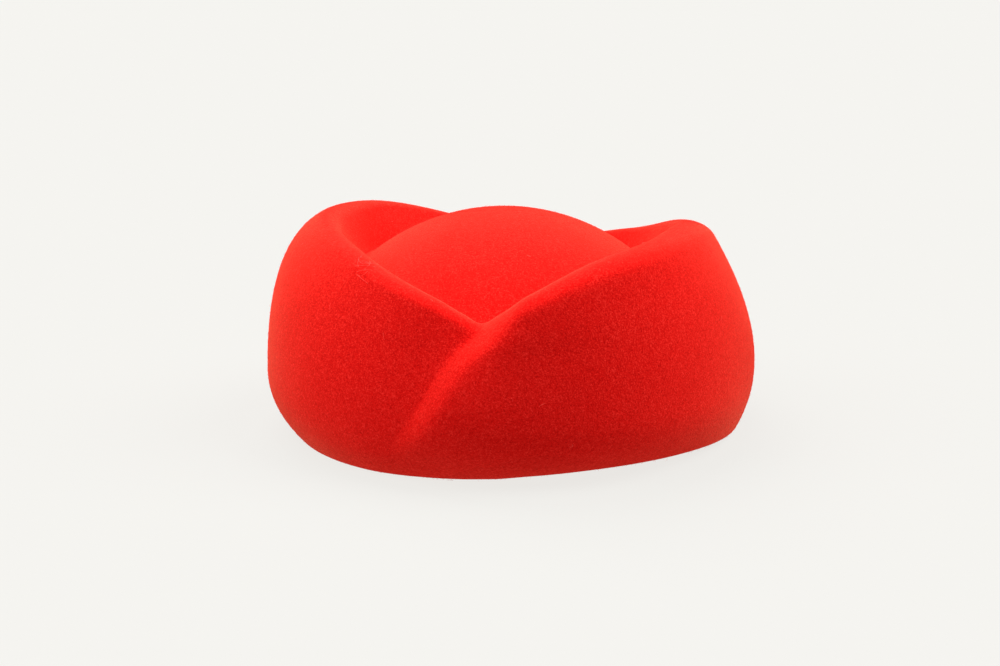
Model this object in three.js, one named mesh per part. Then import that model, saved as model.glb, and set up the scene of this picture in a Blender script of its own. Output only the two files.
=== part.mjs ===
// A pillbox hat blocked from one piece of wool felt, hollow and open below.
// Millimetres, +Z up, the front towards -Y and the wearer's left towards +X.
// The hat stands on its hem at z = 0, and the origin is the middle of its outline there.
//
// From the hem the felt swells to a belly, rises as a wall to a rim, rolls over the rim, goes
// down to a crease, and closes over the crease as a domed crown. The rim is high at both sides,
// as two wings, and dips to a notch at the front and the back. A fold runs from the front notch
// down the wall.

import * as THREE from 'three';

// The cuff, measured over its outside
const WIDTH = 200;
const LENGTH = 222;
const WING_HEIGHT = 88;
const BELLY_HEIGHT = 24;
const HEM_WIDTH = 178;
const HEM_LENGTH = 198;

// The crown, close to half of an ellipsoid, whose top leans a little towards -X. CROWN_CURVE is
// the power that shapes its profile: 0.5 is an ellipse, and more slopes its sides sooner.
const CROWN_BELOW_WINGS = 2;
const CROWN_WIDTH = 170;
const CROWN_LENGTH = 192;
const CROWN_HEIGHT = WING_HEIGHT - CROWN_BELOW_WINGS;
const CROWN_BASE = 10;
const CROWN_LEAN = 4.5;
const CROWN_CURVE = 0.56;

// The thickness of the felt
const FELT = 2.5;

// The fold: the wall on its +X side stands FOLD_STEP proud of the other side. Its flank is
// straight between a valley and a crest, and is rounded at both.
const FOLD_STEP = 9;
const FOLD_HALF_WIDTH = 5;
const FOLD_VALLEY = 1.5;
const FOLD_CREST = 3;
const FOLD_SPREAD = 30;
const FOLD_FOOT = 12;
const FOLD_TOP = 58;
const FOLD_GROWTH = 0.8;

// How fast the wall curls in below the belly
const HEM_CURL = 2.2;

// Sections round the hat, a row each, at an angle in degrees from the front towards +X.
// crest and lift are heights of the rim's top and the hem, as shares of WING_HEIGHT.
// belly, hem and crease are shares of the half sizes of the cuff, the hem and the crown.
// out is where the rim's top stands, as a share of the way from the crease to the belly.
// knee is where the wall starts to lean in, as a share of the way from the belly to the crest.
// roll is the radius of the rim.
const SECTIONS = [
  { at: -170, crest: 0.655, out: 0.44, crease: 0.82, belly: 1, hem: 1, lift: 0, knee: 0.35, roll: 4.5 },
  { at: -145, crest: 0.805, out: 0.4, crease: 0.767, belly: 1, hem: 1, lift: 0, knee: 0.45, roll: 5 },
  { at: -120, crest: 0.912, out: 0.38, crease: 0.726, belly: 1, hem: 0.995, lift: 0, knee: 0.65, roll: 6 },
  { at: -95, crest: 0.955, out: 0.35, crease: 0.735, belly: 0.995, hem: 0.98, lift: 0, knee: 0.8, roll: 7.5 },
  { at: -70, crest: 0.958, out: 0.345, crease: 0.735, belly: 0.99, hem: 0.98, lift: 0, knee: 0.77, roll: 7 },
  { at: -45, crest: 0.92, out: 0.38, crease: 0.72, belly: 0.985, hem: 0.995, lift: 0, knee: 0.55, roll: 5 },
  { at: -25, crest: 0.852, out: 0.48, crease: 0.71, belly: 0.985, hem: 0.995, lift: 0, knee: 0.35, roll: 4 },
  { at: -8, crest: 0.77, out: 0.52, crease: 0.76, belly: 0.99, hem: 0.98, lift: 0.005, knee: 0.3, roll: 3.5 },
  { at: 0, crest: 0.708, out: 0.52, crease: 0.78, belly: 1, hem: 0.975, lift: 0.008, knee: 0.3, roll: 3.5 },
  { at: 5, crest: 0.672, out: 0.52, crease: 0.8, belly: 1, hem: 0.97, lift: 0.01, knee: 0.3, roll: 4 },
  { at: 10, crest: 0.722, out: 0.52, crease: 0.802, belly: 1, hem: 0.975, lift: 0.015, knee: 0.3, roll: 4.5 },
  { at: 17, crest: 0.81, out: 0.52, crease: 0.795, belly: 1, hem: 0.98, lift: 0.025, knee: 0.3, roll: 4.5 },
  { at: 35, crest: 0.928, out: 0.5, crease: 0.755, belly: 1, hem: 1.002, lift: 0.04, knee: 0.35, roll: 5 },
  { at: 57, crest: 0.965, out: 0.44, crease: 0.7, belly: 0.995, hem: 1.03, lift: 0.04, knee: 0.48, roll: 7 },
  { at: 80, crest: 0.975, out: 0.35, crease: 0.69, belly: 0.98, hem: 1.04, lift: 0.02, knee: 0.48, roll: 10 },
  { at: 103, crest: 0.912, out: 0.32, crease: 0.705, belly: 0.983, hem: 1.02, lift: 0, knee: 0.38, roll: 10 },
  { at: 130, crest: 0.848, out: 0.36, crease: 0.747, belly: 1, hem: 1, lift: 0, knee: 0.42, roll: 7 },
  { at: 155, crest: 0.74, out: 0.42, crease: 0.8, belly: 1, hem: 1, lift: 0, knee: 0.4, roll: 4.5 },
];
const SECTION_COLUMNS = ['crest', 'out', 'crease', 'belly', 'hem', 'lift', 'knee', 'roll'];

// The line of the fold up the wall: its angle at each height, a share of WING_HEIGHT
const FOLD_LINE = [
  { height: -0.23, angle: -23.2 },
  { height: 0, angle: -16.1 },
  { height: 0.16, angle: -11.2 },
  { height: 0.35, angle: -5.2 },
  { height: 0.48, angle: -1.3 },
  { height: 0.57, angle: 2.2 },
  { height: 0.65, angle: 7.4 },
  { height: 0.73, angle: 10.3 },
  { height: 0.82, angle: 11 },
  { height: 1.02, angle: 11 },
  { height: 1.25, angle: 11 },
];

// The way up a section is 0 at the hem, 1 at the belly, 2 and 3 where the rim's roll starts and
// ends, 4 at the crease and 5 at the top of the crown. EASE is how far on each side the crease
// is rounded.
const HEM = 0;
const BELLY = 1;
const ROLL_START = 2;
const ROLL_END = 3;
const CREASE = 4;
const TOP = 5;
const EASE = 0.12;
const STRETCHES = [
  { from: HEM, to: BELLY, rows: 3 },
  { from: BELLY, to: ROLL_START, rows: 6 },
  { from: ROLL_START, to: ROLL_END, rows: 6 },
  { from: ROLL_END, to: CREASE - EASE, rows: 3 },
  { from: CREASE - EASE, to: CREASE + EASE, rows: 4 },
  { from: CREASE + EASE, to: TOP, rows: 6 },
];

// Columns round the hat, closer together where the fold is
const SECTORS = [
  { from: -18, to: 16, columns: 32 },
  { from: 16, to: 342, columns: 54 },
];

const FELT_COLOUR = 0xe01c16;

// A smooth curve through a table's rows, for the columns named
function curveThrough(rows, along, columns) {
  const places = rows.map((row) => row[along]);
  const values = rows.flatMap((row) => columns.map((name) => row[name]));
  return new THREE.CubicInterpolant(places, values, columns.length);
}

// The sections with a row before the first and two after the last, so that the curve closes
function closedSections() {
  const turned = (row, turn) => ({ ...row, at: row.at + turn });
  const [first, second] = SECTIONS;
  return [turned(SECTIONS.at(-1), -360), ...SECTIONS, turned(first, 360), turned(second, 360)];
}

const sectionCurve = curveThrough(closedSections(), 'at', SECTION_COLUMNS);
const foldCurve = curveThrough(FOLD_LINE, 'height', ['angle']);

function sectionAt(angle) {
  const start = SECTIONS[0].at;
  const place = start + THREE.MathUtils.euclideanModulo(angle - start, 360);
  const values = sectionCurve.evaluate(place);
  return Object.fromEntries(SECTION_COLUMNS.map((name, i) => [name, values[i]]));
}

// A point of an ellipse round the origin, at an angle from the front and a share of its size
function onEllipse(width, length, angle, share) {
  const turn = THREE.MathUtils.degToRad(angle);
  return new THREE.Vector2(Math.sin(turn) * width, -Math.cos(turn) * length).multiplyScalar(share / 2);
}

function crownHeightOver(place) {
  const across = (place.x + CROWN_LEAN) / (CROWN_WIDTH / 2);
  const along = place.y / (CROWN_LENGTH / 2);
  const rise = Math.max(0, 1 - across ** 2 - along ** 2) ** CROWN_CURVE;
  return CROWN_BASE + (CROWN_HEIGHT - CROWN_BASE) * rise;
}

// How far the rim's roll turns, from its top, before a straight line can leave it for a point
// that is away to one side and below the top
function rollTurn(radius, away, below) {
  const drop = below - radius;
  return Math.asin(radius / Math.hypot(away, drop)) + Math.atan2(drop, away);
}

// A point of a section between the belly and the crease, as a distance inwards from the top of
// the rim and a height: the wall, then the roll, then the straight way down to the crease
function cuffPoint(row, crestHeight, outRun, inRun, creaseHeight, way) {
  const kneeHeight = THREE.MathUtils.lerp(BELLY_HEIGHT, crestHeight, row.knee);
  const outTurn = -rollTurn(row.roll, outRun, crestHeight - kneeHeight);
  const inTurn = rollTurn(row.roll, inRun, crestHeight - creaseHeight);
  const onRoll = (turn) => new THREE.Vector2(
    row.roll * Math.sin(turn),
    crestHeight - row.roll * (1 - Math.cos(turn)),
  );
  if (way < ROLL_START) {
    const belly = new THREE.Vector2(-outRun, BELLY_HEIGHT);
    const knee = new THREE.Vector2(-outRun, kneeHeight);
    return new THREE.QuadraticBezierCurve(belly, knee, onRoll(outTurn)).getPoint(way - BELLY);
  }
  if (way < ROLL_END) {
    return onRoll(THREE.MathUtils.lerp(outTurn, inTurn, way - ROLL_START));
  }
  return onRoll(inTurn).lerp(new THREE.Vector2(inRun, creaseHeight), way - ROLL_END);
}

// A point of a section with its crease still sharp and no fold, as a place and a height
function plainPoint(angle, way) {
  const row = sectionAt(angle);
  const hem = onEllipse(HEM_WIDTH, HEM_LENGTH, angle, row.hem);
  const belly = onEllipse(WIDTH, LENGTH, angle, row.belly);
  const crease = onEllipse(CROWN_WIDTH, CROWN_LENGTH, angle, row.crease);
  const crest = crease.clone().lerp(belly, row.out);
  const crestHeight = row.crest * WING_HEIGHT;
  if (way < BELLY) {
    const hemHeight = Math.max(0, row.lift) * WING_HEIGHT;
    const height = THREE.MathUtils.lerp(hemHeight, BELLY_HEIGHT, way);
    return { place: belly.lerp(hem, (1 - way) ** HEM_CURL), height };
  }
  if (way < CREASE) {
    const outRun = crest.distanceTo(belly);
    const inRun = crest.distanceTo(crease);
    const point = cuffPoint(row, crestHeight, outRun, inRun, crownHeightOver(crease), way);
    const place = point.x < 0 ? crest.lerp(belly, -point.x / outRun) : crest.lerp(crease, point.x / inRun);
    return { place, height: point.y };
  }
  const place = crease.multiplyScalar(TOP - way);
  return { place, height: crownHeightOver(place) };
}

// How far the fold moves a point of the wall outwards, or inwards where it is below zero
function foldShift(angle, way, place, height) {
  const line = foldCurve.evaluate(height / WING_HEIGHT)[0];
  const turn = THREE.MathUtils.euclideanModulo(angle - line + 180, 360) - 180;
  const distance = THREE.MathUtils.degToRad(turn) * place.length();
  const rise = THREE.MathUtils.clamp((height - FOLD_FOOT) / (FOLD_TOP - FOLD_FOOT), 0, 1);
  const fade = 1 - THREE.MathUtils.clamp(way - ROLL_END, 0, 1) ** 2;
  const valley = Math.hypot(distance + FOLD_HALF_WIDTH, FOLD_VALLEY);
  const crest = Math.hypot(distance - FOLD_HALF_WIDTH, FOLD_CREST);
  const profile = (valley - crest) / (2 * FOLD_HALF_WIDTH) / (1 + (distance / FOLD_SPREAD) ** 2);
  return FOLD_STEP / 2 * rise ** FOLD_GROWTH * fade * profile;
}

function foldedPoint(angle, way) {
  const { place, height } = plainPoint(angle, way);
  const shift = foldShift(angle, way, place, height);
  place.setLength(place.length() + shift);
  return new THREE.Vector3(place.x, place.y, height);
}

// A point of the outside, where a curve between two points of the section rounds the crease
function outside(angle, way) {
  if (Math.abs(way - CREASE) >= EASE) {
    return foldedPoint(angle, way);
  }
  const bend = new THREE.QuadraticBezierCurve3(
    foldedPoint(angle, CREASE - EASE),
    foldedPoint(angle, CREASE),
    foldedPoint(angle, CREASE + EASE),
  );
  return bend.getPoint((way - CREASE + EASE) / (2 * EASE));
}

// The way out of the felt at a point of the outside, kept level along the hem
function outward(angle, way) {
  if (way === TOP) {
    return new THREE.Vector3(0, 0, 1);
  }
  const turn = 0.4;
  const step = 0.01;
  const round = outside(angle + turn, way).sub(outside(angle - turn, way));
  const up = outside(angle, way + step).sub(outside(angle, Math.max(HEM, way - step)));
  const normal = round.cross(up);
  if (way === HEM) {
    normal.z = 0;
  }
  return normal.normalize();
}

function inside(angle, way) {
  return outside(angle, way).addScaledVector(outward(angle, way), -FELT);
}

// Places from one end of each stretch to the other, without the last end
function placesAlong(stretches, count) {
  return stretches.flatMap((stretch) => Array.from(
    { length: stretch[count] },
    (_, i) => THREE.MathUtils.lerp(stretch.from, stretch.to, i / stretch[count]),
  ));
}

// A closed body from rings of points in order from the top of the inside to the top of the
// outside, where each end closes on a single point
function bodyFromRings(rings, firstPoint, lastPoint) {
  const columns = rings[0].length;
  const points = [firstPoint, ...rings.flat(), lastPoint];
  const faces = [];
  for (let column = 0; column < columns; column += 1) {
    const next = (column + 1) % columns;
    faces.push(0, 1 + next, 1 + column);
    for (let ring = 0; ring < rings.length - 1; ring += 1) {
      const low = 1 + ring * columns;
      const high = low + columns;
      faces.push(low + column, low + next, high + next);
      faces.push(low + column, high + next, high + column);
    }
    const last = 1 + (rings.length - 1) * columns;
    faces.push(last + column, last + next, points.length - 1);
  }
  const geometry = new THREE.BufferGeometry().setFromPoints(points);
  geometry.setIndex(faces);
  geometry.computeVertexNormals();
  return geometry;
}

// The hat: down the inside from the top, round the edge of the hem, and up the outside
function feltBody() {
  const ways = placesAlong(STRETCHES, 'rows');
  const angles = placesAlong(SECTORS, 'columns');
  const insideRings = ways.toReversed().map((way) => angles.map((angle) => inside(angle, way)));
  const outsideRings = ways.map((way) => angles.map((angle) => outside(angle, way)));
  const geometry = bodyFromRings([...insideRings, ...outsideRings], inside(0, TOP), outside(0, TOP));
  const felt = new THREE.MeshStandardMaterial({ color: FELT_COLOUR, roughness: 0.95, metalness: 0 });
  const body = new THREE.Mesh(geometry, felt);
  body.name = 'felt_body';
  return body;
}

// The body moved so that the origin is the middle of its outline, on the surface it rests on
function centred(body) {
  body.geometry.computeBoundingBox();
  const { min, max } = body.geometry.boundingBox;
  body.position.set(-(min.x + max.x) / 2, -(min.y + max.y) / 2, -min.z);
  return body;
}

const hat = new THREE.Group();
hat.add(centred(feltBody()));

export default hat;
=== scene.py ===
# %% [markdown]
# # A pillbox hat of red wool felt
#
# This lesson dresses a small hat in its looks. A hatter makes such a hat by steaming one hood of
# wool felt and pulling it over a wooden block, so the whole hat is one curved sheet: a hem, a
# swelling wall, two raised wings, a groove behind them, a domed crown, and one fold at the front.
# The frame gives its real size and place, in metres, with the front towards -Y.

import math

import bmesh
import bpy
import numpy as np
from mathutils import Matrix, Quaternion, Vector
from mathutils.bvhtree import BVHTree


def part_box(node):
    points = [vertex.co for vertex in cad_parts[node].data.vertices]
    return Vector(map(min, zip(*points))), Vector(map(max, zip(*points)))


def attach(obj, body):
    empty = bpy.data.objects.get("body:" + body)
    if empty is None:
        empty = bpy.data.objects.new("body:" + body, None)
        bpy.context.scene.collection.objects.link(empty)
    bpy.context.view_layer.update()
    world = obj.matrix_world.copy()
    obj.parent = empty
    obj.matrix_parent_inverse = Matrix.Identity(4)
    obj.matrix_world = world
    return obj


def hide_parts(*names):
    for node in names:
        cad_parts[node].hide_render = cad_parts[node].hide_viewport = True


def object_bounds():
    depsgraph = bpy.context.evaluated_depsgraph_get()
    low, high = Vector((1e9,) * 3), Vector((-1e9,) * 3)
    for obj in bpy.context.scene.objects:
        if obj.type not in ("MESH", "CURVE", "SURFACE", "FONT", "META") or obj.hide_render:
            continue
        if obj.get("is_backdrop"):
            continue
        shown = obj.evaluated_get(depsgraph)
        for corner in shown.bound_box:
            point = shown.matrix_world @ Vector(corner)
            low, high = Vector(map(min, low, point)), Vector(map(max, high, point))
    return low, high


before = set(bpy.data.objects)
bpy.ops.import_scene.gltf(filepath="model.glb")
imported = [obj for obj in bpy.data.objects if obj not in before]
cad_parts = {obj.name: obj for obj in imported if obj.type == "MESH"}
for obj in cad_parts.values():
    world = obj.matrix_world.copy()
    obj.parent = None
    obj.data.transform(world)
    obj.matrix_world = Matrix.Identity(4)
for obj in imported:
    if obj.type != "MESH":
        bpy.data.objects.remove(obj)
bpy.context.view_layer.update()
hat_low, hat_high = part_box("felt_body")
print("hat in the frame, mm:", [round(1000 * side) for side in hat_high - hat_low])

# %% [markdown]
# ## The camera
#
# The photograph was taken from about 15 degrees above the table, 12 degrees round from the
# notch, with a long lens. One could turn the hat to suit the camera, but the hat has to stay in
# its frame, so the camera goes round the hat. It stands where a pixel at the hat's origin covers
# 0.41 mm, and looks at the point that brings the origin to its place in the picture.

# %% Place the camera
PICTURE_WIDTH = 1000
PICTURE_HEIGHT = 666
ORIGIN_PIXEL = (511, 416.5)
PIXEL_AT_ORIGIN = 0.0004115
AZIMUTH = math.radians(12)
ELEVATION = math.radians(15)
LENS = 85
SENSOR = 36


def place_camera():
    back = Vector((
        math.sin(AZIMUTH) * math.cos(ELEVATION),
        -math.cos(AZIMUTH) * math.cos(ELEVATION),
        math.sin(ELEVATION),
    ))
    right = Vector((math.cos(AZIMUTH), math.sin(AZIMUTH), 0))
    up = back.cross(right)
    distance = PIXEL_AT_ORIGIN * PICTURE_WIDTH * LENS / SENSOR
    across = (PICTURE_WIDTH / 2 - ORIGIN_PIXEL[0]) * PIXEL_AT_ORIGIN
    above = (ORIGIN_PIXEL[1] - PICTURE_HEIGHT / 2) * PIXEL_AT_ORIGIN
    lens = bpy.data.cameras.new("camera")
    lens.lens = LENS
    lens.sensor_width = SENSOR
    camera = bpy.data.objects.new("camera", lens)
    camera.location = back * distance
    target = right * across + up * above
    camera.rotation_euler = (target - camera.location).to_track_quat("-Z", "Y").to_euler()
    bpy.context.scene.collection.objects.link(camera)
    bpy.context.scene.camera = camera
    return camera


camera = place_camera()
print("camera at", [round(value, 3) for value in camera.location])

# %% [markdown]
# ## The form of the hat
#
# A hat block has no straight lines, but it has a few sizes that a hatter measures: how wide and
# long the cuff is, how high the wings stand, how large the crown is. The rest is read off
# sections taken round the block. Each row of the table is one section: heights are shares of the
# wings' height, distances are shares of the cuff, the hem or the crown, and the roll is the
# radius of the rim. A smooth curve through each column gives every angle in between. One could
# sculpt this freely, but a table can be checked against the photograph a row at a time.

# %% Sizes and sections
WIDTH = 0.200
LENGTH = 0.222
WING_HEIGHT = 0.088
BELLY_HEIGHT = 0.024
HEM_WIDTH = 0.178
HEM_LENGTH = 0.198
CROWN_BELOW_WINGS = 0.002
CROWN_WIDTH = 0.170
CROWN_LENGTH = 0.192
CROWN_HEIGHT = WING_HEIGHT - CROWN_BELOW_WINGS
CROWN_BASE = 0.010
CROWN_LEAN = 0.0045
CROWN_CURVE = 0.56
FELT = 0.0025
HEM_CURL = 2.2

SECTION_COLUMNS = ("at", "crest", "out", "crease", "belly", "hem", "lift", "knee", "roll")
SECTIONS = np.array([
    (-170, 0.655, 0.44, 0.820, 1.000, 1.000, 0.000, 0.35, 0.0045),
    (-145, 0.805, 0.40, 0.767, 1.000, 1.000, 0.000, 0.45, 0.0050),
    (-120, 0.912, 0.38, 0.726, 1.000, 0.995, 0.000, 0.65, 0.0060),
    (-95, 0.955, 0.35, 0.735, 0.995, 0.980, 0.000, 0.80, 0.0075),
    (-70, 0.958, 0.345, 0.735, 0.990, 0.980, 0.000, 0.77, 0.0070),
    (-45, 0.920, 0.38, 0.720, 0.985, 0.995, 0.000, 0.55, 0.0070),
    (-25, 0.852, 0.48, 0.710, 0.985, 0.995, 0.000, 0.35, 0.0070),
    (-8, 0.770, 0.52, 0.760, 0.990, 0.980, 0.005, 0.30, 0.0065),
    (0, 0.708, 0.52, 0.780, 1.000, 0.975, 0.008, 0.30, 0.0065),
    (5, 0.672, 0.52, 0.800, 1.000, 0.970, 0.010, 0.30, 0.0068),
    (10, 0.722, 0.52, 0.802, 1.000, 0.975, 0.015, 0.30, 0.0075),
    (17, 0.810, 0.52, 0.795, 1.000, 0.980, 0.025, 0.30, 0.0085),
    (35, 0.928, 0.50, 0.755, 1.000, 1.002, 0.040, 0.35, 0.0100),
    (57, 0.965, 0.44, 0.700, 0.995, 1.030, 0.040, 0.48, 0.0105),
    (80, 0.975, 0.35, 0.690, 0.980, 1.040, 0.020, 0.48, 0.0100),
    (103, 0.912, 0.32, 0.705, 0.983, 1.020, 0.000, 0.38, 0.0100),
    (130, 0.848, 0.36, 0.747, 1.000, 1.000, 0.000, 0.42, 0.0070),
    (155, 0.740, 0.42, 0.800, 1.000, 1.000, 0.000, 0.40, 0.0045),
])

# The way up a section: the hem, the belly, where the rim's roll starts and ends, the crease and
# the top of the crown
HEM, BELLY, ROLL_START, ROLL_END, CREASE, TOP = range(6)


def through(places, values, at):
    """A smooth curve through values given at places, read at the places in at."""
    i = np.clip(np.searchsorted(places, at, side="right") - 1, 1, len(places) - 3)
    span = places[i + 1] - places[i]
    slope_in = span * (values[i + 1] - values[i - 1]) / (places[i + 1] - places[i - 1])
    slope_out = span * (values[i + 2] - values[i]) / (places[i + 2] - places[i])
    t = (at - places[i]) / span
    start = values[i] * (2 * t**3 - 3 * t**2 + 1) + slope_in * (t**3 - 2 * t**2 + t)
    return start + values[i + 1] * (3 * t**2 - 2 * t**3) + slope_out * (t**3 - t**2)


def sections_at(angle):
    """The table's columns at each angle, by name. The rows are repeated past both ends."""
    turn = np.zeros(SECTIONS.shape[1])
    turn[0] = 360
    rows = np.vstack([SECTIONS[-1:] - turn, SECTIONS, SECTIONS[:2] + turn])
    first = SECTIONS[0, 0]
    at = first + (angle - first) % 360
    return {
        name: through(rows[:, 0], rows[:, column], at)
        for column, name in enumerate(SECTION_COLUMNS)
    }


print("sections round the hat:", len(SECTIONS))

# %% [markdown]
# ## The fold
#
# At the front the hood's cloth was lapped before it was pulled tight, so the wall on one side of
# a slanting line stands proud of the other. The step between them has a narrow valley, a straight
# flank and a rounder crest, and fades out towards the hem. It could be cut in as a hard edge and
# smoothed. Here it is a function of the distance from the line, which keeps the felt in one piece
# and lets the step grow with height.

# %% The fold's line and step
FOLD_STEP = 0.009
FOLD_HALF_WIDTH = 0.005
FOLD_VALLEY = 0.0010
FOLD_CREST = 0.003
FOLD_SPREAD = 0.030
FOLD_FOOT = 0.010
FOLD_TOP = 0.058
FOLD_GROWTH = 0.6

# Height, a share of WING_HEIGHT, and the angle of the line there
FOLD_LINE = np.array([
    (-0.23, -23.2),
    (0.00, -16.1),
    (0.16, -11.2),
    (0.35, -5.2),
    (0.48, -1.3),
    (0.57, 2.2),
    (0.65, 7.4),
    (0.73, 10.3),
    (0.82, 11.0),
    (1.02, 11.0),
    (1.25, 11.0),
])


def fold_shift(angle, way, reach, height):
    """How far the fold moves the felt outwards, or inwards where it is below zero."""
    line = through(FOLD_LINE[:, 0], FOLD_LINE[:, 1], height / WING_HEIGHT)
    distance = np.radians((angle - line + 180) % 360 - 180) * reach
    rise = np.clip((height - FOLD_FOOT) / (FOLD_TOP - FOLD_FOOT), 0, 1)
    fade = 1 - np.clip(way - ROLL_END, 0, 1) ** 2
    valley = np.hypot(distance + FOLD_HALF_WIDTH, FOLD_VALLEY)
    crest = np.hypot(distance - FOLD_HALF_WIDTH, FOLD_CREST)
    profile = (valley - crest) / (2 * FOLD_HALF_WIDTH) / (1 + (distance / FOLD_SPREAD) ** 2)
    return FOLD_STEP / 2 * rise**FOLD_GROWTH * fade * profile


print("fold, mm proud:", 1000 * FOLD_STEP)

# %% [markdown]
# ## A point of the hat's outside
#
# Each stretch of a section has its own curve. The wall curls in to the hem, and above the belly
# it stands upright to a knee and then leans in to the rim. The rim is an arc that both sides
# leave smoothly, the inner side runs straight down to the crease, and the crown is a dome on an
# oval base. The crease is rounded by a curve between a point before it and a point after it. A
# single smooth curve through all of it would be shorter to write, but it loses the rim's roll.

# %% Points of the outside
EASE = 0.12


def on_ellipse(width, length, angle, share):
    turn = np.radians(angle)
    ring = np.stack([np.sin(turn) * width, -np.cos(turn) * length], axis=-1)
    return ring * share[:, None] / 2


def crown_height(place):
    across = (place[:, 0] + CROWN_LEAN) / (CROWN_WIDTH / 2)
    along = place[:, 1] / (CROWN_LENGTH / 2)
    rise = np.clip(1 - across**2 - along**2, 0, 1) ** CROWN_CURVE
    return CROWN_BASE + (CROWN_HEIGHT - CROWN_BASE) * rise


def blend(start, end, share):
    return start + (end - start) * share[:, None]


def bend(start, middle, end, share):
    """Points of a curve with three control points."""
    return blend(blend(start, middle, share), blend(middle, end, share), share)


def roll_turn(radius, away, below):
    """How far a rim's roll turns before a straight line leaves it for a point below its top."""
    drop = below - radius
    return np.arcsin(radius / np.hypot(away, drop)) + np.arctan2(drop, away)


def on_roll(radius, crest_height, turn):
    return np.stack([radius * np.sin(turn), crest_height - radius * (1 - np.cos(turn))], axis=-1)


def cuff_points(row, crest_height, out_run, in_run, crease_height, way):
    """Points from the belly to the crease: distances inwards from the rim's top, and heights."""
    knee_height = BELLY_HEIGHT + (crest_height - BELLY_HEIGHT) * row["knee"]
    out_turn = -roll_turn(row["roll"], out_run, crest_height - knee_height)
    in_turn = roll_turn(row["roll"], in_run, crest_height - crease_height)
    belly = np.stack([-out_run, np.full_like(out_run, BELLY_HEIGHT)], axis=-1)
    knee = np.stack([-out_run, knee_height], axis=-1)
    crease = np.stack([in_run, crease_height], axis=-1)
    up_wall, along_roll, down_side = (
        np.clip(way - start, 0, 1) for start in (BELLY, ROLL_START, ROLL_END)
    )
    wall = bend(belly, knee, on_roll(row["roll"], crest_height, out_turn), up_wall)
    turn = out_turn + (in_turn - out_turn) * along_roll
    roll = on_roll(row["roll"], crest_height, turn)
    side = blend(on_roll(row["roll"], crest_height, in_turn), crease, down_side)
    stages = [(way < ROLL_START)[:, None], (way < ROLL_END)[:, None]]
    return np.select(stages, [wall, roll], side)


def folded_points(angle, way):
    """Points of the sections, moved by the fold, with the crease still sharp."""
    row = sections_at(angle)
    hem = on_ellipse(HEM_WIDTH, HEM_LENGTH, angle, row["hem"])
    belly = on_ellipse(WIDTH, LENGTH, angle, row["belly"])
    crease = on_ellipse(CROWN_WIDTH, CROWN_LENGTH, angle, row["crease"])
    crest = blend(crease, belly, row["out"])
    out_run = np.linalg.norm(belly - crest, axis=1)
    in_run = np.linalg.norm(crease - crest, axis=1)
    hem_height = np.clip(row["lift"], 0, None) * WING_HEIGHT
    cuff = cuff_points(row, row["crest"] * WING_HEIGHT, out_run, in_run, crown_height(crease), way)
    outwards = blend(crest, belly, -cuff[:, 0] / out_run)
    inwards = blend(crest, crease, cuff[:, 0] / in_run)
    crown = crease * (TOP - way)[:, None]
    stages = [way < BELLY, (way < CREASE) & (cuff[:, 0] < 0), way < CREASE]
    below = np.clip(BELLY - way, 0, 1)
    place = np.select([chosen[:, None] for chosen in stages], [
        blend(belly, hem, below**HEM_CURL),
        outwards,
        inwards,
    ], crown)
    height = np.select(stages, [
        BELLY_HEIGHT + (hem_height - BELLY_HEIGHT) * below,
        cuff[:, 1],
        cuff[:, 1],
    ], crown_height(crown))
    reach = np.linalg.norm(place, axis=1)
    shift = fold_shift(angle, way, reach, height)
    place = place * (1 + shift / np.maximum(reach, FELT))[:, None]
    return np.column_stack([place, height])


def outside(angle, way):
    """Points of the outside, with the crease rounded by a curve with three control points."""
    points = folded_points(angle, way)
    near = np.abs(way - CREASE) < EASE
    start, middle, end = (
        folded_points(angle[near], np.full(near.sum(), CREASE + step))
        for step in (-EASE, 0, EASE)
    )
    points[near] = bend(start, middle, end, (way[near] - CREASE + EASE) / (2 * EASE))
    return points


front = outside(np.array([0.0, 0.0]), np.array([BELLY, (ROLL_START + ROLL_END) / 2]))
print("front belly and rim, mm:", np.round(1000 * front, 1).tolist())

# %% [markdown]
# ## The felt, pulled over the block
#
# Felt starts flat, so the mesh does too: a flat grid, whose two directions become the angle round
# the hat and the way up it. Moving every point to its place on the form is the blocking. The two
# side edges meet and are welded, and the last row closes on the top of the crown. Columns are
# closer together at the fold, and rows at the rim and the crease, where the form bends most.

# %% Block the outside
COLUMNS = 260
ROWS = 130
ANGLE_KNOTS = ((0.0, 0.30, 1.0), (-24, 20, 336))
WAY_KNOTS = (
    (0.00, 0.09, 0.33, 0.50, 0.62, 0.72, 1.00),
    (HEM, BELLY, ROLL_START, ROLL_END, CREASE - EASE, CREASE + EASE, TOP),
)
WELD = 1e-6


def block_felt():
    mesh = bmesh.new()
    bmesh.ops.create_grid(mesh, x_segments=COLUMNS, y_segments=ROWS, size=0.5)
    flat = np.array([vert.co[:2] for vert in mesh.verts]) + 0.5
    points = outside(np.interp(flat[:, 0], *ANGLE_KNOTS), np.interp(flat[:, 1], *WAY_KNOTS))
    middle = (points.min(axis=0) + points.max(axis=0)) / 2
    middle[2] = points[:, 2].min()
    seat = (hat_low + hat_high) / 2
    seat.z = hat_low.z
    for vert, point in zip(mesh.verts, points - middle):
        vert.co = Vector(point) + seat
    bmesh.ops.remove_doubles(mesh, verts=mesh.verts, dist=WELD)
    bmesh.ops.recalc_face_normals(mesh, faces=mesh.faces)
    if max(mesh.verts, key=lambda vert: vert.co.z).normal.z < 0:
        bmesh.ops.reverse_faces(mesh, faces=mesh.faces)
    mesh.normal_update()
    return mesh


outer_felt = block_felt()
print("blocked felt:", len(outer_felt.verts), "points,", len(outer_felt.faces), "faces")

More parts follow.
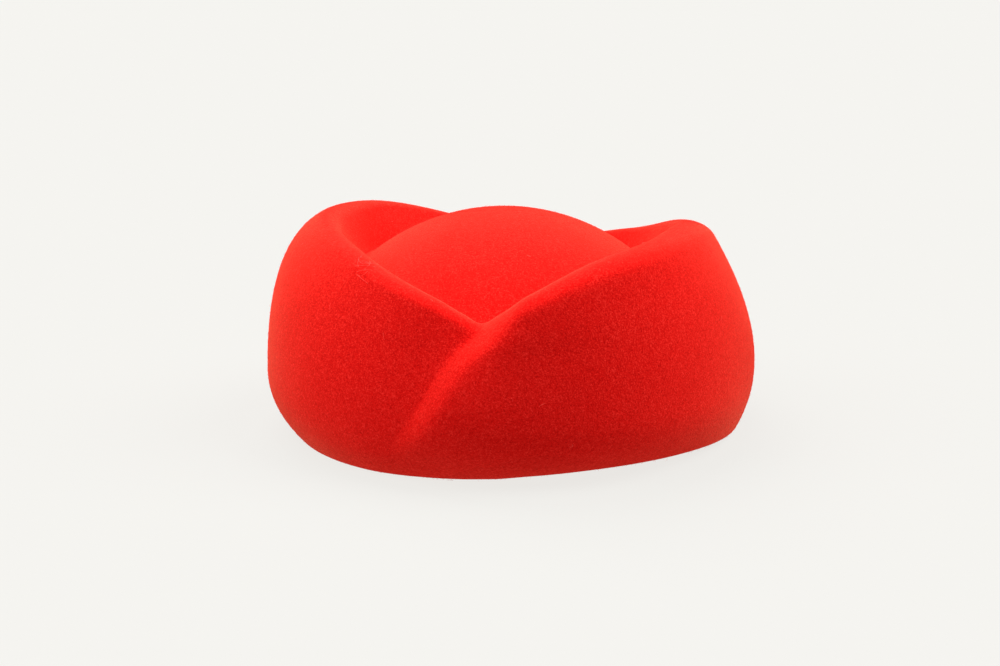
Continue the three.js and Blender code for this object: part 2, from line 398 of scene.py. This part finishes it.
# %% [markdown]
# ## Thickness and the cut hem
#
# The wall is 2.5 mm of felt. The inside is the outside again, one thickness further in and
# turned to face inwards, and a band of faces bridges the two along the hem. A Solidify modifier
# would do the same, but it tilts the hem's edge, and a hatter cuts it level with the table. The
# band's two edges are softened, because felt can't hold a sharp corner.

# %% Give the felt its thickness
HEM_ROUND = 0.0009
HEM_ROUND_STEPS = 3


def mesh_data(name, mesh):
    """Turns a bmesh into mesh data, and frees it."""
    data = bpy.data.meshes.new(name)
    mesh.to_mesh(data)
    mesh.free()
    return data


def inner_wall(outer):
    inner = outer.copy()
    inner.normal_update()
    moves = []
    for vert in inner.verts:
        away = vert.normal.copy()
        if vert.is_boundary:
            away.z = 0
            away.normalize()
        moves.append(away * FELT)
    for vert, move in zip(inner.verts, moves):
        vert.co -= move
    bmesh.ops.reverse_faces(inner, faces=inner.faces)
    return inner


def felt_shell(outer):
    shell = outer.copy()
    inner = mesh_data("inner_wall", inner_wall(outer))
    shell.from_mesh(inner)
    bpy.data.meshes.remove(inner)
    rims = [edge for edge in shell.edges if edge.is_boundary]
    bmesh.ops.bridge_loops(shell, edges=rims)
    bmesh.ops.bevel(
        shell, geom=rims, offset=HEM_ROUND, offset_type="OFFSET", segments=HEM_ROUND_STEPS,
        profile=0.5, affect="EDGES", material=-1,
    )
    return shell


def add_piece(name, data, material):
    """Makes a piece of felt that stays on the hat's body."""
    data.materials.append(material)
    piece = bpy.data.objects.new(name, data)
    bpy.context.scene.collection.objects.link(piece)
    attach(piece, "root")
    return piece


shell_mesh = felt_shell(outer_felt)
print("shell:", len(shell_mesh.faces), "faces")

# %% [markdown]
# ## Shader sums
#
# A finish is easier to read as a sum than as a list of nodes. This class wraps the output of a
# node, so that adding or multiplying two of them adds the Math node that does it.

# %% A wrapper for sockets
class Link:
    """An output socket that can be used in sums and passed to node()."""

    def __init__(self, tree, socket):
        self.tree = tree
        self.socket = socket

    def math(self, operation, first, second):
        return node(self.tree, "ShaderNodeMath", {"operation": operation}, {0: first, 1: second})

    def __add__(self, other):
        return self.math("ADD", self, other)

    def __sub__(self, other):
        return self.math("SUBTRACT", self, other)

    def __mul__(self, other):
        return self.math("MULTIPLY", self, other)

    def __rsub__(self, other):
        return self.math("SUBTRACT", other, self)

    __radd__ = __add__
    __rmul__ = __mul__


def node(tree, kind, settings, sockets, output=0):
    """Adds a node, sets it up, links or sets its sockets, and returns one output if it has any."""
    made = tree.nodes.new(kind)
    for name, value in settings.items():
        setattr(made, name, value)
    for name, value in sockets.items():
        if isinstance(value, Link):
            tree.links.new(value.socket, made.inputs[name])
        else:
            made.inputs[name].default_value = value
    return Link(tree, made.outputs[output]) if made.outputs else None


def new_material(name):
    material = bpy.data.materials.new(name)
    material.use_nodes = True
    material.node_tree.nodes.clear()
    return material, material.node_tree


def noise(tree, place, scale, detail, roughness=0.5):
    sockets = {"Vector": place, "Scale": scale, "Detail": detail, "Roughness": roughness}
    return node(tree, "ShaderNodeTexNoise", {}, sockets, "Fac")


def between(tree, value, low, high):
    """0 where the value is below low, 1 above high, and smooth in between."""
    settings = {"interpolation_type": "SMOOTHSTEP"}
    sockets = {"Value": value, "From Min": low, "From Max": high}
    return node(tree, "ShaderNodeMapRange", settings, sockets)


def mix_colours(tree, share, first, second):
    settings = {"data_type": "RGBA"}
    return node(tree, "ShaderNodeMix", settings, {"Factor": share, 6: first, 7: second}, 2)


# %% [markdown]
# ## The finish of the felt
#
# Wool felt is a mat of fine fibres that lie every way. From a metre off it looks matt, with a
# grain of about a millimetre: pale where fibres cross and dark in the pits between them. Its edges
# glow, because the nap catches light at a slant. So the colour is a saturated red with pits, a
# coarser grain and faint clouds, the bump has the same grain, and the sheen is soft and warm. The
# colour's tone is partly the felt's own random mottle and partly painted shade: it uses the bump's
# noises, so it is darkest in the bump's pits. An image could carry this detail, but noise in the
# piece's own coordinates has no seams and works at any size.

# %% Make the felt
# The deep red is partly the felt's random mottle and partly painted shade, as it falls in the
# bump's pits
DEEP_RED_AND_PIT_SHADE = (0.560, 0.0034, 0.0032, 1)
MAIN_RED = (0.770, 0.0070, 0.0057, 1)
LIGHT_RED = (0.950, 0.0300, 0.0225, 1)
CLOUD_SCALE = 45
GRAIN_SCALE = 600
PIT_SCALE = 1500
FUZZ_SCALE = 3200

# How much each noise counts in the tone, which uses the bump's noises and so paints shade into the
# pits, and the tones between which the colours change
CLOUD_TONE, GRAIN_TONE, PIT_TONE, FUZZ_TONE = 0.12, 0.30, 0.85, 0.6
TONE_OFFSET = 0.43
DEEP_TO_MAIN = (0.22, 0.52)
MAIN_TO_LIGHT = (0.48, 0.80)

# How much each noise counts in the bump
GRAIN_HEIGHT, PIT_HEIGHT, FUZZ_HEIGHT = 0.25, 0.65, 0.3
BUMP_STRENGTH = 0.5
BUMP_DEPTH = 0.0006

FELT_ROUGHNESS = 0.95
MATT_WOOL = {
    "Specular IOR Level": 0.0,
    "Sheen Weight": 0.28,
    "Sheen Roughness": 0.4,
    "Sheen Tint": (1.0, 0.42, 0.24, 1),
}


def felt_grain(tree, place):
    """Clouds, grain, pits and fuzz, each about 0.5 in the middle."""
    return (
        noise(tree, place, CLOUD_SCALE, 2),
        noise(tree, place, GRAIN_SCALE, 3, 0.55),
        noise(tree, place, PIT_SCALE, 2, 0.6),
        noise(tree, place, FUZZ_SCALE, 1),
    )


def make_felt():
    material, tree = new_material("felt")
    place = node(tree, "ShaderNodeTexCoord", {}, {}, "Object")
    cloud, grain, pits, fuzz = felt_grain(tree, place)
    # The tone follows the bump's noises, so the darker reds are painted shade in the pits as well
    # as random mottle
    mix = cloud * CLOUD_TONE + grain * GRAIN_TONE + pits * PIT_TONE + fuzz * FUZZ_TONE
    tone = mix - TONE_OFFSET
    low = mix_colours(tree, between(tree, tone, *DEEP_TO_MAIN), DEEP_RED_AND_PIT_SHADE, MAIN_RED)
    colour = mix_colours(tree, between(tree, tone, *MAIN_TO_LIGHT), low, LIGHT_RED)
    height = grain * GRAIN_HEIGHT + pits * PIT_HEIGHT + fuzz * FUZZ_HEIGHT
    sockets = {"Strength": BUMP_STRENGTH, "Distance": BUMP_DEPTH, "Height": height}
    bump = node(tree, "ShaderNodeBump", {}, sockets)
    shader = node(tree, "ShaderNodeBsdfPrincipled", {}, {
        "Base Color": colour,
        "Roughness": FELT_ROUGHNESS,
        "Normal": bump,
        **MATT_WOOL,
    })
    node(tree, "ShaderNodeOutputMaterial", {}, {"Surface": shader})
    return material


felt = make_felt()
shell_data = mesh_data("felt_shell", shell_mesh)
shell_data.polygons.foreach_set("use_smooth", [True] * len(shell_data.polygons))
shell = add_piece("felt_shell", shell_data, felt)
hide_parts("felt_body")
print("felt finish:", len(felt.node_tree.nodes), "nodes")

# %% [markdown]
# ## The nap
#
# A bump can't show at the edge of the hat, where loose fibre ends stand out against the light.
# These are real, very fine strips, a little over a millimetre long, each bent once and lying
# at a low angle. A particle system would make them too, but plain arrays give the same fibres on
# every run and leave a simple mesh. Each piece is kept to a moderate number of faces.

# %% Grow the nap
NAP_SEED = 11
NAP_FIBRES = 60000
NAP_LENGTH = 0.0013
NAP_LENGTH_SPREAD = 0.35
NAP_WIDTH = 0.00005
NAP_SINK = 0.00008

# How far a fibre rises for its length, how many of them lie low, how far its flat side is turned
# up, how far it bends sideways at its knee, and how its tip rises for the rise of its root
NAP_LIFT = 0.32
NAP_LIE = 1.5
NAP_TURN = 0.6
NAP_BEND = 0.45
NAP_TIP_RISE = (-0.6, 1.2)

NAP_TONE = (0.3, 0.7)
NAP_ROUGHNESS = 0.9


def felt_triangles(mesh, keep):
    """Corners and corner normals of the triangles of the faces whose middle passes keep."""
    corners = []
    normals = []
    for loops in mesh.calc_loop_triangles():
        if keep(loops[0].face.calc_center_median()):
            corners.append([loop.vert.co for loop in loops])
            normals.append([loop.vert.normal for loop in loops])
    return np.array(corners), np.array(normals)


def scatter(triangles, normals, count, random):
    """Points spread evenly over triangles, with the normal at each."""
    edges = np.cross(triangles[:, 1] - triangles[:, 0], triangles[:, 2] - triangles[:, 0])
    area = np.linalg.norm(edges, axis=1)
    chosen = random.choice(len(area), size=count, p=area / area.sum())
    shares = random.dirichlet((1, 1, 1), count)[:, :, None]
    normal = (normals[chosen] * shares).sum(axis=1)
    normal /= np.linalg.norm(normal, axis=1)[:, None]
    return (triangles[chosen] * shares).sum(axis=1), normal


def unit(vectors):
    return vectors / np.linalg.norm(vectors, axis=1)[:, None]


def fibre_strips(roots, normal, random):
    """Strips of two joints, as points and faces: two points, two points and a tip."""
    count = len(roots)
    along = unit(np.cross(normal, random.normal(size=(count, 3))))
    side = unit(np.cross(normal, along) + NAP_TURN * random.normal(size=(count, 1)) * normal)
    joint = (NAP_LENGTH * random.lognormal(0, NAP_LENGTH_SPREAD, count))[:, None] / 2
    rise = NAP_LIFT * random.random((count, 1)) ** NAP_LIE
    half = side * NAP_WIDTH / 2
    root = roots - normal * NAP_SINK
    knee = root + joint * (along + normal * rise)
    bent = unit(np.cross(normal, along)) * random.normal(0, NAP_BEND, (count, 1))
    tip_rise = rise * random.uniform(*NAP_TIP_RISE, (count, 1))
    tip = knee + joint * (along + bent + normal * tip_rise)
    points = np.stack([root - half, root + half, knee + half, knee - half, tip], axis=1)
    first = 5 * np.arange(count)[:, None]
    quads = first + np.array([0, 1, 2, 3])
    tips = first + np.array([3, 2, 4])
    return points.reshape(-1, 3), quads.tolist() + tips.tolist()


def grow_nap(name, keep, seed, material):
    random = np.random.default_rng(seed)
    triangles, normals = felt_triangles(outer_felt, keep)
    roots, normal = scatter(triangles, normals, NAP_FIBRES, random)
    points, faces = fibre_strips(roots, normal, random)
    data = bpy.data.meshes.new(name)
    data.from_pydata(points.tolist(), [], faces)
    return add_piece(name, data, material)


def make_nap():
    material, tree = new_material("nap")
    place = node(tree, "ShaderNodeTexCoord", {}, {}, "Object")
    tone = between(tree, noise(tree, place, GRAIN_SCALE, 2), *NAP_TONE)
    shader = node(tree, "ShaderNodeBsdfPrincipled", {}, {
        "Base Color": mix_colours(tree, tone, MAIN_RED, LIGHT_RED),
        "Roughness": NAP_ROUGHNESS,
        **MATT_WOOL,
    })
    node(tree, "ShaderNodeOutputMaterial", {}, {"Surface": shader})
    return material


nap = make_nap()
nap_left = grow_nap("nap_left", lambda middle: middle.x < 0, NAP_SEED, nap)
nap_right = grow_nap("nap_right", lambda middle: middle.x >= 0, NAP_SEED + 1, nap)
print("fibres:", 2 * NAP_FIBRES)

# %% [markdown]
# ## Stray fibres
#
# Felt always sheds a few longer hairs. The photograph shows a small tangle of pale ones just
# under the rim on the wearer's right, and single ones elsewhere. Each is walked over the surface
# in short steps, set back onto the felt and turned a little at every step, and then drawn as a
# curve with a round section. A hair system would do this too, but it doesn't export as a mesh.

# %% Lay the stray fibres
STRAY_SEED = 5
STRAY_STEPS = 8
STRAY_RADIUS = 0.000045
STRAY_LIFT = 0.00025
TANGLE_PLACE = (-0.0420, -0.0755, 0.0745)
TANGLE_SPREAD = 0.0026
TANGLE_FIBRES = 9
TANGLE_LENGTH = 0.0080
LOOSE_FIBRES = 60
LOOSE_LENGTH = 0.0018
STRAY_LENGTH_SPREAD = 0.4
STRAY_CURL = 0.12
PALE_RED = (0.960, 0.110, 0.075, 1)
STRAY_TONE = (0.35, 0.65)


def fibre_path(surface, place, heading, length, curl):
    """Points of a fibre that starts at a place and lies along the felt."""
    points = []
    for _ in range(STRAY_STEPS + 1):
        place, normal, _, _ = surface.find_nearest(place)
        points.append(place + normal * STRAY_LIFT)
        heading = (heading - normal * heading.dot(normal)).normalized()
        heading.rotate(Quaternion(normal, curl))
        place = place + heading * length / STRAY_STEPS
    return points


def stray_paths(random):
    surface = BVHTree.FromBMesh(outer_felt)
    triangles, normals = felt_triangles(outer_felt, lambda middle: True)
    loose, _ = scatter(triangles, normals, LOOSE_FIBRES, random)
    tangle = np.array(TANGLE_PLACE) + random.normal(0, TANGLE_SPREAD, (TANGLE_FIBRES, 3))
    paths = []
    for roots, usual in ((tangle, TANGLE_LENGTH), (loose, LOOSE_LENGTH)):
        for root in roots:
            length = usual * random.lognormal(0, STRAY_LENGTH_SPREAD)
            curl = random.normal(0, STRAY_CURL)
            heading = Vector(random.normal(size=3))
            paths.append(fibre_path(surface, Vector(root), heading, length, curl))
    return paths


def lay_fibres(name, paths, material):
    curve = bpy.data.curves.new(name, "CURVE")
    curve.dimensions = "3D"
    curve.bevel_depth = STRAY_RADIUS
    curve.bevel_resolution = 1
    curve.use_fill_caps = True
    for path in paths:
        spline = curve.splines.new("POLY")
        spline.points.add(len(path) - 1)
        for point, place in zip(spline.points, path):
            point.co = (*place, 1)
    drawn = bpy.data.objects.new(name, curve)
    data = bpy.data.meshes.new_from_object(drawn)
    bpy.data.objects.remove(drawn)
    data.materials.clear()
    return add_piece(name, data, material)


def make_stray_finish():
    material, tree = new_material("stray_fibre")
    place = node(tree, "ShaderNodeTexCoord", {}, {}, "Object")
    tone = between(tree, noise(tree, place, GRAIN_SCALE, 2), *STRAY_TONE)
    shader = node(tree, "ShaderNodeBsdfPrincipled", {}, {
        "Base Color": mix_colours(tree, tone, LIGHT_RED, PALE_RED),
        "Roughness": 0.7,
        "Specular IOR Level": 0.3,
    })
    node(tree, "ShaderNodeOutputMaterial", {}, {"Surface": shader})
    return material


stray_fibres = lay_fibres(
    "stray_fibres", stray_paths(np.random.default_rng(STRAY_SEED)), make_stray_finish(),
)
stray_faces = len(stray_fibres.data.polygons)
print("stray fibres:", TANGLE_FIBRES + LOOSE_FIBRES, "in", stray_faces, "faces")

# %% [markdown]
# ## Floor and light
#
# The photograph has an even, nearly white surround. The light comes from behind and from both
# sides, and a little of it from straight above, so the rims and the crown are bright and the
# front is darkest, and much light comes back up from the paper. Lamps near the hat would light
# the floor unevenly, so the lamps are wide suns, which light every place alike, and the surround
# is bright below and dark above. Most of the floor's brightness is a glow of its own, which keeps
# it as even as the paper of the photograph, and the rest takes a faint shadow round the hem.

# %% Floor, surround and lamps
FLOOR_SIZE = 8.0
PAPER = (0.905, 0.896, 0.863, 1)
PAPER_GLOW = 0.93
PAPER_SHADE = 0.05
LAMPS = {
    "top_lamp": {"azimuth": 0, "elevation": 88, "spread": 60, "strength": 0.6},
    "left_lamp": {"azimuth": -70, "elevation": 45, "spread": 45, "strength": 2.3},
    "right_lamp": {"azimuth": 110, "elevation": 50, "spread": 45, "strength": 3.4},
    "back_lamp": {"azimuth": -150, "elevation": 50, "spread": 45, "strength": 3.9},
}
BOUNCE = (0.75, 0.75, 0.74, 1)
CEILING = (0.02, 0.02, 0.02, 1)
BOUNCE_TO_CEILING = (-0.3, 0.5)


def make_floor():
    mesh = bmesh.new()
    bmesh.ops.create_grid(mesh, x_segments=1, y_segments=1, size=FLOOR_SIZE / 2)
    data = mesh_data("floor", mesh)
    material, tree = new_material("paper")
    matt = node(tree, "ShaderNodeBsdfDiffuse", {}, {"Color": PAPER})
    glow = node(tree, "ShaderNodeEmission", {}, {"Color": PAPER, "Strength": PAPER_GLOW})
    paper = node(tree, "ShaderNodeMixShader", {}, {0: PAPER_SHADE, 1: glow, 2: matt})
    node(tree, "ShaderNodeOutputMaterial", {}, {"Surface": paper})
    data.materials.append(material)
    floor = bpy.data.objects.new("floor", data)
    floor.location.z = hat_low.z
    floor.visible_diffuse = False
    bpy.context.scene.collection.objects.link(floor)
    floor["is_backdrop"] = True


def add_lamp(name, azimuth, elevation, spread, strength):
    data = bpy.data.lights.new(name, "SUN")
    data.angle = math.radians(spread)
    data.energy = strength
    lamp = bpy.data.objects.new(name, data)
    turn, rise = math.radians(azimuth), math.radians(elevation)
    towards = Vector((
        math.sin(turn) * math.cos(rise),
        -math.cos(turn) * math.cos(rise),
        math.sin(rise),
    ))
    lamp.location = towards
    lamp.rotation_euler = towards.to_track_quat("Z", "Y").to_euler()
    bpy.context.scene.collection.objects.link(lamp)


def light_scene():
    world = bpy.data.worlds.new("surround")
    bpy.context.scene.world = world
    world.use_nodes = True
    tree = world.node_tree
    tree.nodes.clear()
    direction = node(tree, "ShaderNodeTexCoord", {}, {}, "Generated")
    height = node(tree, "ShaderNodeSeparateXYZ", {}, {"Vector": direction}, "Z")
    colour = mix_colours(tree, between(tree, height, *BOUNCE_TO_CEILING), BOUNCE, CEILING)
    surround = node(tree, "ShaderNodeBackground", {}, {"Color": colour})
    node(tree, "ShaderNodeOutputWorld", {}, {"Surface": surround})
    for name, lamp in LAMPS.items():
        add_lamp(name, **lamp)
    bpy.context.scene.view_settings.view_transform = "Standard"


make_floor()
light_scene()
print("lamps:", ", ".join(LAMPS))

# %% [markdown]
# ## The box of the dressed hat
#
# The box round the dressed hat is printed in millimetres, to set beside the frame's sizes printed
# at the start. The dressed hat has to stay within the frame's box, apart from what fabric may
# stand proud.

# %% Print the dressed hat's box
visual_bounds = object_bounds()
visual_box = [[round(1000 * value, 1) for value in corner] for corner in visual_bounds]
print("visual box, mm:", visual_box)
